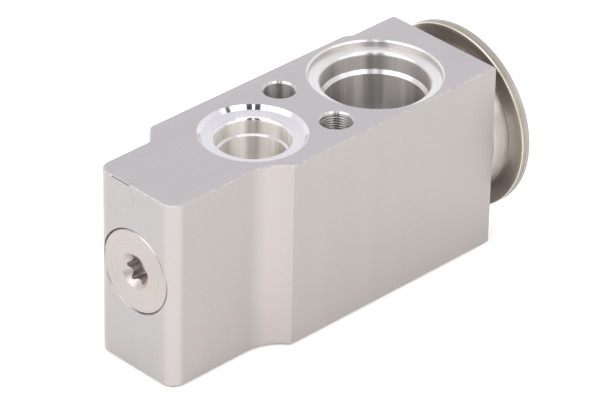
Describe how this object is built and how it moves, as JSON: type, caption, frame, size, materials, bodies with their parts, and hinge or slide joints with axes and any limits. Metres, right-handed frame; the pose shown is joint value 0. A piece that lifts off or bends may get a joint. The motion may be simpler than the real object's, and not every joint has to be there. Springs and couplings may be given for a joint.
{
  "type": "thermostatic expansion valve",
  "caption": "Block-type expansion valve: machined aluminium block with stepped liquid and suction ports, stainless thermal head and an adjusting screw.",
  "frame": {"origin": "on the base face, midway between the two fixing holes", "axes": "+Z out of the port face, +X from the adjusting screw to the thermal head, +Y towards the side with the plain hole"},
  "size_m": [0.0863, 0.037, 0.0391],
  "materials": {
    "block_aluminium": "extruded and machined aluminium, satin",
    "screw_steel": "turned, fine matt plating",
    "collar_steel": "turned, satin",
    "head_stainless": "pressed stainless sheet, brushed by rolling",
    "inner_stainless": "bright stainless",
    "rod_aluminium": "turned, bright",
    "sleeve_plastic": "moulded dark plastic",
    "carrier_brass": "turned",
    "ball_steel": "polished",
    "seal_rubber": "green refrigerant rubber"
  },
  "bodies": {
    "valve_body": {"valve_block": "block_aluminium", "seat_insert": "inner_stainless", "rod_seal": "seal_rubber", "rod_seal_retainer": "inner_stainless", "head_seal": "seal_rubber", "threaded_collar": "collar_steel", "lower_cover": "head_stainless", "diaphragm": "inner_stainless", "upper_cover": "head_stainless", "charge_plug": "head_stainless"},
    "valve_train": {"diaphragm_stop": "carrier_brass", "sensing_rod": "rod_aluminium", "rod_sleeve": "sleeve_plastic", "push_pin": "inner_stainless", "valve_ball": "ball_steel", "ball_carrier": "carrier_brass", "damper_clip": "inner_stainless", "superheat_spring": "inner_stainless"},
    "screw_seal_ring": {"screw_seal": "seal_rubber"},
    "screw": {"adjusting_screw": "screw_steel"}
  },
  "joints": [
    {"name": "valve_lift", "type": "slide", "parent": "valve_body", "child": "valve_train", "axis": [-1, 0, 0], "range_m": [0, 0.0008], "stiffness_N_per_m": 4000, "deforming": ["superheat_spring", "diaphragm"]},
    {"name": "screw_travel", "type": "slide", "parent": "valve_body", "child": "screw_seal_ring", "axis": [1, 0, 0], "range_m": [-0.0012, 0.0024], "deforming": ["superheat_spring"]},
    {"name": "screw_turn", "type": "hinge", "parent": "screw_seal_ring", "child": "screw", "pos_m": [-0.0424, 0, 0.0206], "axis": [1, 0, 0], "range_deg": [-360, 720]}
  ],
  "couplings": [
    {"joint": "screw_travel", "follows": "screw_turn", "m_per_rad": 0.00015915}
  ]
}
